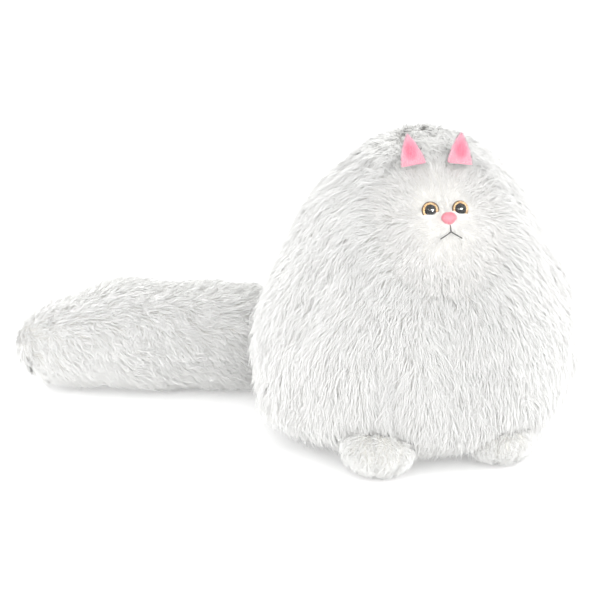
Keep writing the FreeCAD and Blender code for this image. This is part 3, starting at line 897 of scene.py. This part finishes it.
def buildEye(side):
    word = "left" if side > 0 else "right"
    tail = word.capitalize()
    turn = eyeTurn(side)
    r, pupil, post = eye["radius"], eye["pupil"], eye["post"]
    domeLine = [(0, 0), (r - 0.2 * mm, 0), (r, 0.2 * mm)] + domeArc(16)
    dome = spunPiece("eyeDome" + tail, domeLine, clearAcrylic, turn)
    foot, bevel = -eye["postLength"], 0.6 * mm
    postLine = [(0, -bevel), (post, -bevel), (post, foot + bevel), (post - bevel, foot), (0, foot)]
    pin = spunPiece("eyePost" + tail, postLine, clearAcrylic, turn, 24)
    bpy.ops.object.select_all(action="DESELECT")
    pin.select_set(True)
    dome.select_set(True)
    bpy.context.view_layer.objects.active = dome
    bpy.ops.object.join()
    dressPiece(dome, "torso", ["eye_dome_" + word])
    deep, bevel, foot = eye["pupilDepth"], 0.2 * mm, 0.1 * mm
    pupilLine = [(0, deep), (pupil - bevel, deep), (pupil, deep - bevel), (pupil, foot), (0, foot)]
    black = spunPiece("eyePupil" + tail, pupilLine, blackGloss, turn)
    dressPiece(black, "torso", ["eye_pupil_" + word])
    irisLine = [(x, 0.06 * mm) for x in np.linspace(0, r - 0.25 * mm, 30)]
    irisLine += [(r - 0.25 * mm, -0.5 * mm), (0, -0.5 * mm)]
    iris = spunPiece("eyeIris" + tail, irisLine, goldGlitter, turn, 64)
    dressPiece(iris, "torso", ["eye_iris_" + word])
    top, low, wide = -eye["washerDepth"] + eye["washerThick"], -eye["washerDepth"], eye["washer"]
    bore, chamfer = post + 0.1 * mm, 0.3 * mm
    washerLine = [(bore, low), (wide - chamfer, low), (wide, low + chamfer), (wide, top - chamfer),
                  (wide - chamfer, top), (post + 0.8 * mm, top), (bore, top + 0.6 * mm), (bore, low)]
    lock = spunPiece("eyeWasher" + tail, washerLine, nylonWhite, turn, 36)
    dressPiece(lock, "torso", ["eye_washer_" + word])
    return dome


def noseComb(roots, ups):
    out = (roots - np.array(nose["centre"])) * [1, 0, 1] - [0, 0, 1 * mm]
    ones = np.ones(len(roots))
    return out, nose["look"]["fullLength"] * ones, nose["rise"] * ones


def buildNose():
    bm = bmesh.new()
    bmesh.ops.create_uvsphere(bm, u_segments=32, v_segments=20, radius=1.0)
    made = pieceFrom(bm, "nosePad", [noseFlock])
    co = coordsOf(made.data)
    x, y, z = co.T
    wide = 1 + 0.18 * z - 0.22 * np.clip(-z, 0, 1) ** 2
    co = np.stack([x * nose["half"][0] * wide, y * nose["half"][1], z * nose["half"][2]], 1)
    setCoords(made.data, co + np.array(nose["centre"]))
    return made


def buildMouth():
    def onFace(x, z):
        return (x, float(muzzleFront(np.array([x]), np.array([z]), 0.0)[0]) - mouth["proud"], z)
    endX, endZ = mouth["end"]
    runs = pliesOf([onFace(0, mouth["top"]), onFace(0, (mouth["top"] + mouth["fork"]) / 2),
                    onFace(0, mouth["fork"])], mouth["ply"] * 0.8, mouth["pitch"])
    for side in (-1, 1):
        runs += pliesOf([onFace(side * 0.2 * mm, mouth["fork"] + 0.2 * mm),
                         onFace(side * endX / 2, (mouth["fork"] + endZ) / 2 + 0.1 * mm),
                         onFace(side * endX, endZ)], mouth["ply"] * 0.8, mouth["pitch"])
    return tubesAlong("mouthStitches", runs, mouth["ply"], blackThread)


clearAcrylic = clearMaterial()
goldGlitter = gleamMaterial()
blackGloss = gloss("glossBlackPlastic", "#050404", 0.7)
nylonWhite = gloss("mouldedNylon", "#ECEBE6", 0.4)
noseFlock = flockMaterial("pinkFlock", furLook["nose"], furLook["noseDeep"])
domes = [buildEye(side) for side in (-1, 1)]
nosePad = buildNose()
mouthThread = buildMouth()
dressPiece(mouthThread, "torso", ["mouth_stitches"])

bareParts = [copyPiece(p, "bare") for p in domes + [nosePad, mouthThread]]
bpy.ops.object.select_all(action="DESELECT")
for part in bareParts:
    part.select_set(True)
bpy.context.view_layer.objects.active = bareParts[0]
bpy.ops.object.join()
for side in (-1, 1):
    facePart(side, bareParts[0])
bpy.data.objects.remove(bareParts[0])
furOn(nosePad, hairShort, nose["look"], noseComb, 320, noseFlock)
dressPiece(nosePad, "torso", ["nose"])


def buildMuzzleStuffing():
    bm = bmesh.new()
    bmesh.ops.create_uvsphere(bm, u_segments=40, v_segments=24, radius=1.0)
    made = pieceFrom(bm, "muzzleStuffing", [fibreFill])
    co = coordsOf(made.data) * [h - 8 * mm for h in face["muzzleHalf"]] + np.array(face["muzzle"])
    skin = bodyFront(co[:, 0], co[:, 2], body["skinInset"]) - 0.5 * mm
    co[:, 1] = np.minimum(co[:, 1], skin)
    setCoords(made.data, co)
    dressPiece(made, "torso", ["muzzle_stuffing"])


buildMuzzleStuffing()
print("face made")


# ---- ears
ear.update({
    "width": 22 * mm, "height": 26 * mm, "foot": -1.5 * mm, "layer": 1.7 * mm, "lean": 16.0, "turn": 8.0,
    "cup": 2.0 * mm,
    "look": pileLook(spacing=0.5 * mm, thick=0.18 * mm, fullLength=2.6 * mm, swirl=9 * mm, scatter=0.25,
                     hairsPerLock=5, lockReach=0.8 * mm, gather=0.2, curl=0.15, tipRise=0.15, softShade=0.8),
    "backLook": pileLook(spacing=0.75 * mm, thick=0.26 * mm, fullLength=4.2 * mm, wander=0.2, swirl=9 * mm,
                         scatter=0.25, hairsPerLock=6, lockReach=1.2 * mm, gather=0.3, curl=0.15,
                         softShade=0.8),
})


def earHalf(t):
    # half width at each share of the ear's height: a triangle with full sides and a narrow tip
    return ear["width"] / 2 * (1 - t ** 1.45) ** 0.85


def placeEar(co, side):
    lean, turn = math.radians(-ear["lean"]), math.radians(side * ear["turn"])
    x, y, z = co.T
    y, z = y * math.cos(lean) - z * math.sin(lean), y * math.sin(lean) + z * math.cos(lean)
    x, z = x * math.cos(turn) + z * math.sin(turn), -x * math.sin(turn) + z * math.cos(turn)
    return np.stack([x + side * ear["base"].x, y + ear["base"].y, z + ear["base"].z], 1)


def earLayer(name, side, front, material):
    bm = bmesh.new()
    bmesh.ops.create_grid(bm, x_segments=22, y_segments=26, size=0.5)
    bmesh.ops.solidify(bm, geom=bm.faces[:], thickness=0.5)
    bmesh.ops.recalc_face_normals(bm, faces=bm.faces[:])
    made = pieceFrom(bm, name, [material])
    co = coordsOf(made.data)
    u, t = co[:, 0] * 2, co[:, 1] + 0.5
    depth = (co[:, 2] - co[:, 2].min()) / (co[:, 2].max() - co[:, 2].min())
    t = np.clip(t, 0, 0.995)
    x = u * earHalf(t)
    z = ear["foot"] + t * (ear["height"] - ear["foot"])
    puff = ear["layer"] * np.sqrt(np.maximum(1 - u ** 4, 0.02)) * np.sqrt(np.maximum(1 - t ** 5, 0.02))
    cup = -ear["cup"] * u * u * (1 - t)
    y = np.where(front, -1, 1) * (0.1 * mm + depth * puff) + cup
    setCoords(made.data, placeEar(np.stack([x, y, z], 1), side))
    bm = bmesh.new()
    bm.from_mesh(made.data)
    bmesh.ops.recalc_face_normals(bm, faces=bm.faces[:])
    bm.to_mesh(made.data)
    bm.free()
    return made


def buildEar(side):
    word = "left" if side > 0 else "right"

    def comb(roots, ups):
        up = np.tile(placeEar(np.array([[0.0, 0, 1]]), side) - placeEar(np.array([[0.0, 0, 0]]), side),
                     (len(roots), 1))
        spread = (roots[:, :1] - side * ear["base"].x) / (ear["width"] / 2) * [1.0, 0, 0]
        return unit(up) + 0.6 * spread, np.ones(len(roots)), 0.5 * np.ones(len(roots))

    def combOf(length):
        def sized(roots, ups):
            way, ones, rise = comb(roots, ups)
            return way, length * ones, rise
        return sized

    def tintAt(co):
        # deep pink low in the middle, pale towards the rim
        local = co - np.array([side * ear["base"].x + side * 1.6 * mm, 0, ear["base"].z + 9 * mm])
        reach = np.hypot(local[:, 0] / (6.5 * mm), local[:, 2] / np.where(local[:, 2] > 0, 11 * mm, 8 * mm))
        return 0.05 + 0.85 * smoothStep(reach, 0.3, 1.15)

    inner = earLayer("earInner" + word.capitalize(), side, True, pinkBacking)
    innerLook = {**ear["look"], "tintAt": tintAt}
    furOn(inner, hairShort, innerLook, combOf(ear["look"]["fullLength"]), 400 + side, pinkPile)
    dressPiece(inner, "ear_" + word, ["ear_inner_" + word])
    back = earLayer("earBack" + word.capitalize(), side, False, backing)
    backLook = ear["backLook"]
    furOn(back, hairShort, backLook, combOf(backLook["fullLength"]), 410 + side, shadedShortPile)
    dressPiece(back, "ear_" + word, ["ear_back_" + word])


for side in (-1, 1):
    buildEar(side)
print("ears made")


# ---- paws
paw = {
    "centre": Vector((59 * mm, -112.5 * mm, 22.8 * mm)), "half": (31.5 * mm, 35 * mm, 22.3 * mm),
    "setBack": 13 * mm,      # the cat's left paw is tucked further under it
    "inset": 2.4 * mm, "soleTop": 7 * mm, "toeSpacing": 9 * mm, "toeDip": 3.0 * mm, "toeWidth": 1.6 * mm,
    "pressure": 5.0, "cap": 3 * mm, "thread": 0.45 * mm, "floorGap": 0.4 * mm,
    "rise": 0.85, "grooveCut": 0.35, "grooveReach": 2.6 * mm,
    "look": pileLook(spacing=0.92 * mm, thick=0.34 * mm, fullLength=10 * mm, wander=0.4, swirl=14 * mm,
                     scatter=0.45, hairsPerLock=9, lockReach=2.6 * mm, strays=0.06, curl=0.2,
                     lockTurn=0.35, tipRise=0.25, softShade=0.4),
}


def buildPaw(side):
    word = "left" if side > 0 else "right"
    tail = word.capitalize()
    setBack = paw["setBack"] if side > 0 else 0.0
    centre = np.array([side * paw["centre"].x, paw["centre"].y, paw["centre"].z])
    centre += [-0.3 * setBack, setBack, 0]
    half = np.array(paw["half"]) - paw["inset"]
    bm = bmesh.new()
    bmesh.ops.create_uvsphere(bm, u_segments=72, v_segments=48, radius=1.0)
    bmesh.ops.rotate(bm, verts=bm.verts[:], cent=(0, 0, 0), matrix=Matrix.Rotation(math.pi / 2, 3, "Y"))
    skin = pieceFrom(bm, "pawSkin", [backing])
    co = coordsOf(skin.data)
    ball = co.copy()
    front = smoothStep(-ball[:, 1], 0.05, 0.5)
    groove = np.zeros(len(co))
    for toe in (-1, 1):
        off = ball[:, 0] * half[0] - toe * paw["toeSpacing"]
        groove += np.exp(-(off / paw["toeWidth"]) ** 2)
    co = ball * half
    co -= unit(co) * (groove * front * paw["toeDip"])[:, None]
    co += centre
    co[:, 2] = np.maximum(co[:, 2], paw["inset"] + paw["floorGap"])
    sewn = np.where((groove * front > 0.5) | (co[:, 2] < paw["inset"] + 1 * mm) | (ball[:, 1] > 0.2))[0]
    setCoords(skin.data, co)
    inflate(skin, sewn, paw["pressure"], paw["cap"])
    co = coordsOf(skin.data)
    co[:, 2] = np.maximum(co[:, 2], paw["inset"] + paw["floorGap"])
    setCoords(skin.data, co)
    keepFaces(skin, lambda co: co[:, 1] < bodyFront(co[:, 0], co[:, 2], 3 * mm))

    filling = shrunk(skin, "pawStuffing" + tail, 1.2 * mm, fibreFill)
    dressPiece(filling, "paw_" + word, ["paw_stuffing_" + word])

    def comb(roots, ups):
        out = (roots - centre) / half
        way = out * [0.5, 0.8, 0] + [0, 0, -1.0]
        off = np.abs(roots[:, 0] - centre[0]) - paw["toeSpacing"]
        groove = np.exp(-(off / paw["grooveReach"]) ** 2) * smoothStep(-out[:, 1], 0.1, 0.5)
        length = paw["look"]["fullLength"] * (1 - paw["grooveCut"] * groove)
        return way, length, paw["rise"] * np.ones(len(roots))

    for name, node, above in (("pawCover", "paw_cover_", True), ("pawSole", "paw_sole_", False)):
        part = copyPiece(skin, name + tail)
        bm = bmesh.new()
        bm.from_mesh(part.data)
        bmesh.ops.bisect_plane(bm, geom=bm.verts[:] + bm.edges[:] + bm.faces[:],
                               plane_co=(0, 0, paw["soleTop"]), plane_no=(0, 0, 1),
                               clear_inner=above, clear_outer=not above)
        bm.to_mesh(part.data)
        bm.free()
        furOn(part, hairShort, paw["look"], comb, 500 + side * 2 + above, pawPile)
        dressPiece(part, "paw_" + word, [node + word])

    runs = []
    for toe in (-1, 1):
        x = centre[0] + toe * paw["toeSpacing"]
        off = (toe * paw["toeSpacing"]) / half[0]
        points = []
        for t in np.linspace(math.radians(-22), math.radians(48), 9):
            reach = math.sqrt(1 - off * off)
            points.append((x, centre[1] - half[1] * reach * math.cos(t) + paw["toeDip"] * 0.45,
                           centre[2] + half[2] * reach * math.sin(t)))
        runs += pliesOf(points, paw["thread"] * 0.8, 3 * mm)
    stitches = tubesAlong("toeStitches" + tail, runs, paw["thread"], whiteThread)
    dressPiece(stitches, "paw_" + word, ["toe_stitches_" + word])
    bpy.data.objects.remove(skin)


for side in (-1, 1):
    buildPaw(side)
print("paws made")


# ---- tail
tailRoot = jointAt["tail_swing"]
tail = {
    "outline": [(16, 17.5), (30, 19), (50, 28), (80, 44.5), (108, 53), (140, 56), (195, 56.3),
                (255, 55), (308, 48), (340, 36), (358, 19), (364, 0)],
    "cuts": (57 * mm, 172 * mm), "headings": (10.0, 12.0, 14.0), "breaks": (115 * mm, 230 * mm),
    "inset": 8 * mm, "steps": 56, "rows": 80, "pressure": 3.0, "cap": 4 * mm,
    "droop": 10 * mm, "lump": 2.5 * mm, "lumpSize": 80 * mm, "seamDip": 3 * mm, "seamWidth": 9 * mm,
    "droopFrom": (245 * mm, 345 * mm), "tipFrom": (270 * mm, 355 * mm), "tipCut": 0.25, "tipMix": 0.5,
    "rootFrom": (20 * mm, 90 * mm), "rootCut": 0.45, "frizz": 14 * mm, "rise": 0.72, "tipLie": 0.3,
    "look": pileLook(spacing=1.12 * mm, thick=0.46 * mm, fullLength=20 * mm, wander=0.27, swirl=36 * mm,
                     scatter=0.18, hairsPerLock=11, lockReach=4 * mm, gather=0.42, strays=0.08,
                     curl=0.18, lockTurn=0.28),
}


def tailLine(s):
    # a point of the tail's middle line for each distance from its root
    at = np.tile(np.array(tailRoot), (len(s), 1))
    edges = [0.0, *tail["breaks"], 1.0]
    for low, high, heading in zip(edges, edges[1:], tail["headings"]):
        turn = math.radians(heading)
        run = np.clip(s, low, high) - low
        at = at + run[:, None] * [-math.cos(turn), math.sin(turn), 0]
    return at


def tailFrame(s):
    ahead = unit(tailLine(s + 6 * mm) - tailLine(s - 6 * mm))
    side = np.stack([-ahead[:, 1], ahead[:, 0], np.zeros(len(s))], 1)
    return ahead, side


def alongTail(co):
    # each place's distance along the tail
    flat = co - np.array(tailRoot)
    turn = math.radians(tail["headings"][1])
    return flat @ np.array([-math.cos(turn), math.sin(turn), 0])


def tailComb(roots, ups):
    s = alongTail(roots)
    ahead = tailFrame(s)[0]
    tip = smoothStep(s, *tail["tipFrom"])
    front = np.clip(-ups[:, 1:2], 0, 1)
    every = np.stack([waves(roots, tail["frizz"], seed) for seed in (71, 72, 73)], 1)
    comb = -ahead + np.array([0, 0, -1.0]) * (0.2 + 0.5 * front) + every * tail["tipMix"] * tip[:, None]
    cut = tail["rootCut"] * (1 - smoothStep(s, *tail["rootFrom"]))
    length = tail["look"]["fullLength"] * (1 - cut)
    return comb, length * (1 - tail["tipCut"] * tip), tail["rise"] - tail["tipLie"] * tip


def buildTail():
    outline = np.array(tail["outline"]) * mm
    line = smoothThrough(outline, tail["rows"])
    along = np.gradient(line, axis=0)
    out = unit(np.stack([-along[:, 1], along[:, 0]], 1))
    line = line - out * tail["inset"] * np.clip(line[:, :1] / 0.05, 0.5, 1)
    line[-1, 1] = 0.0
    bm = bmesh.new()
    made = [bm.verts.new((s, 0, max(r, 0))) for s, r in line]
    for a, b in zip(made, made[1:]):
        bm.edges.new((a, b))
    bmesh.ops.spin(bm, geom=bm.verts[:] + bm.edges[:], axis=(1, 0, 0), cent=(0, 0, 0),
                   angle=2 * math.pi, steps=tail["steps"], use_merge=True)
    bmesh.ops.remove_doubles(bm, verts=bm.verts[:], dist=0.2 * mm)
    bmesh.ops.recalc_face_normals(bm, faces=bm.faces[:])
    if sum(f.normal.z * f.calc_center_median().z for f in bm.faces) < 0:
        bmesh.ops.reverse_faces(bm, faces=bm.faces[:])
    skin = pieceFrom(bm, "tailSkin", [backing])
    co = coordsOf(skin.data)
    s, y, z = co.T
    radius = np.hypot(y, z)
    dip = tail["seamDip"] * np.exp(-(z / tail["seamWidth"]) ** 2) * np.clip(radius / 0.04, 0, 1)
    lump = tail["lump"] * waves(co, tail["lumpSize"], 21)
    scale = 1 + (lump - dip) / np.maximum(radius, 0.02)
    side = tailFrame(s)[1]
    co = tailLine(s) + side * (y * scale)[:, None] + np.array([0, 0, 1.0]) * (z * scale)[:, None]
    z2 = co[:, 2] - smoothStep(s, *tail["droopFrom"]) * tail["droop"]
    rest, soft = tail["inset"] * 0.55, 8 * mm       # it settles on the floor with a flattened underside
    co[:, 2] = np.where(z2 < rest + soft, rest + soft * np.exp((z2 - rest - soft) / soft), z2)
    setCoords(skin.data, co)
    sewn = np.where((np.abs(z) < 1 * mm) | (s < 24 * mm) | (co[:, 2] < rest + 4 * mm))[0]
    inflate(skin, sewn, tail["pressure"], tail["cap"])
    print("tail skin stuffed")

    words = ("base", "middle", "tip")
    ends = [-1.0, *tail["cuts"], 1.0]
    blends = [None, ("tail_base", "tail_middle", 85 * mm, 145 * mm),
              ("tail_middle", "tail_tip", 200 * mm, 260 * mm)]
    for index, word in enumerate(words):
        low, high = ends[index], ends[index + 1]

        def between(co):
            return (alongTail(co) >= low) & (alongTail(co) < high)

        def settle(piece, node):
            dressPiece(piece, None if blends[index] else "tail_base", [node])
            if blends[index]:
                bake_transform(piece)

        stretch = copyPiece(skin, "tailStretch")
        keepFaces(stretch, between)
        filling = shrunk(stretch, "tailStuffing" + word.capitalize(), 1.5 * mm, fibreFill)
        settle(filling, "tail_stuffing_" + word)
        for half, above in (("Top", True), ("Under", False)):
            part = copyPiece(stretch, "tail" + half + word.capitalize())
            keepFaces(part, lambda co: (co[:, 2] > tailRoot.z - 4 * mm) == above)
            furOn(part, hairShort, tail["look"], tailComb, 600 + index * 2 + above, longPile)
            settle(part, "tail_" + half.lower() + "_" + word)
        bpy.data.objects.remove(stretch)
    bpy.data.objects.remove(skin)

    bm = bmesh.new()
    bmesh.ops.create_icosphere(bm, subdivisions=4, radius=12.6 * mm)
    knob = pieceFrom(bm, "tailRootStuffing", [fibreFill])
    co = coordsOf(knob.data)
    setCoords(knob.data, co * (1 + 0.02 * waves(co, 9 * mm, 31))[:, None] + np.array(tailRoot))
    dressPiece(knob, "tail_root", ["tail_root_stuffing"])


buildTail()
print("tail made")


# ---- closing seam
def buildClosing():
    low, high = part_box("closing_stitches")
    runs = []
    heights = np.linspace(low.z + 0.6 * mm, high.z - 0.6 * mm, 9)
    for z in heights:
        x = np.linspace(-3 * mm, 3 * mm, 5)
        line = skinProfile(body["skinInset"])
        radius = np.interp(z, line[:, 1], line[:, 0]) - body["seamDip"] + 0.6 * mm
        y = body["depth"] * np.sqrt(radius ** 2 - x ** 2) - body["lean"] * z
        dip = 1.2 * mm * (np.abs(x) / (3 * mm)) ** 2
        runs.append(np.stack([x, y - dip, np.full(5, z)], 1))
    made = tubesAlong("closingStitches", runs, 0.45 * mm, whiteThread)
    dressPiece(made, "torso", ["closing_stitches"])


buildClosing()
bpy.data.objects.remove(hairShort)
print("closing seam made")


# ---- light, floor and camera
view = {
    "azimuth": -16.0, "elevation": 12.5, "distance": 1.70, "widthSeen": 0.558,
    "aside": 101.9 * mm, "below": 17.4 * mm,          # how far the picture's middle is from the body's
}


def buildView():
    # the camera stands before the body and looks past it, so that the tail is in the picture too
    middle = Vector((0, 0, bodyHeight * 0.493))
    a, e = math.radians(view["azimuth"]), math.radians(view["elevation"])
    back = Vector((math.sin(a) * math.cos(e), -math.cos(a) * math.cos(e), math.sin(e)))
    right = Vector((math.cos(a), math.sin(a), 0))
    up = back.cross(right)
    camera = bpy.data.objects.new("camera", bpy.data.cameras.new("camera"))
    bpy.context.scene.collection.objects.link(camera)
    camera.location = middle + back * view["distance"]
    aim = middle - right * view["aside"] - up * view["below"]
    camera.rotation_euler = (camera.location - aim).to_track_quat("Z", "Y").to_euler()
    camera.data.sensor_width = 36
    camera.data.lens = 36 * view["distance"] / view["widthSeen"]
    camera.data.clip_start = 0.05
    bpy.context.scene.camera = camera
    return camera


def addLight(name, place, aim, size, power):
    lamp = bpy.data.objects.new(name, bpy.data.lights.new(name, "AREA"))
    bpy.context.scene.collection.objects.link(lamp)
    lamp.location = place
    lamp.rotation_euler = (Vector(place) - Vector(aim)).to_track_quat("Z", "Y").to_euler()
    lamp.data.size = size
    lamp.data.energy = power
    lamp.data.shape = "DISK"
    return lamp


camera = buildView()
light = {"world": 1.22, "frontSize": 0.5, "frontPower": 3.4, "highPower": 2.5, "leftPower": 0.3,
         "leftSpread": 50.0, "rightPower": 2.0, "catchPower": 60.0, "floorGlow": 0.25}
bm = bmesh.new()
bmesh.ops.create_grid(bm, x_segments=2, y_segments=2, size=9)
sweepLook = {"Base Color": (0.93, 0.93, 0.93, 1), "Roughness": 0.9, "Emission Color": (1, 1, 1, 1),
             "Emission Strength": light["floorGlow"]}
whiteSweep = newMaterial("whiteSweep", sweepLook)[0]
floor = pieceFrom(bm, "floor", [whiteSweep])
world = bpy.data.worlds.new("softWhite")
world.use_nodes = True
world.node_tree.nodes["Background"].inputs["Color"].default_value = (1, 1, 1, 1)
world.node_tree.nodes["Background"].inputs["Strength"].default_value = light["world"]
bpy.context.scene.world = world
bpy.context.scene.view_settings.view_transform = "Standard"
addLight("frontLight", camera.location + Vector((0.05, -0.05, 0.12)), (0, -0.05, 0.15), light["frontSize"],
         light["frontPower"])
addLight("highLight", (0.9, -0.9, 1.7), (0, 0, 0.15), 1.4, light["highPower"])
leftLight = addLight("leftLight", (-0.8, -0.9, 0.65), (-0.36, 0.2, 0.06), 0.5, light["leftPower"])
leftLight.data.spread = math.radians(light["leftSpread"])
addLight("rightLight", (1.3, -0.6, 0.7), (0, 0, 0.12), 1.0, light["rightPower"])
catchLight = addLight("catchLight", (0.25, -1.0, 0.55), (0, -0.1, 0.232), 0.4, light["catchPower"])
catchLight.visible_diffuse = False          # only for the gleam in the eyes
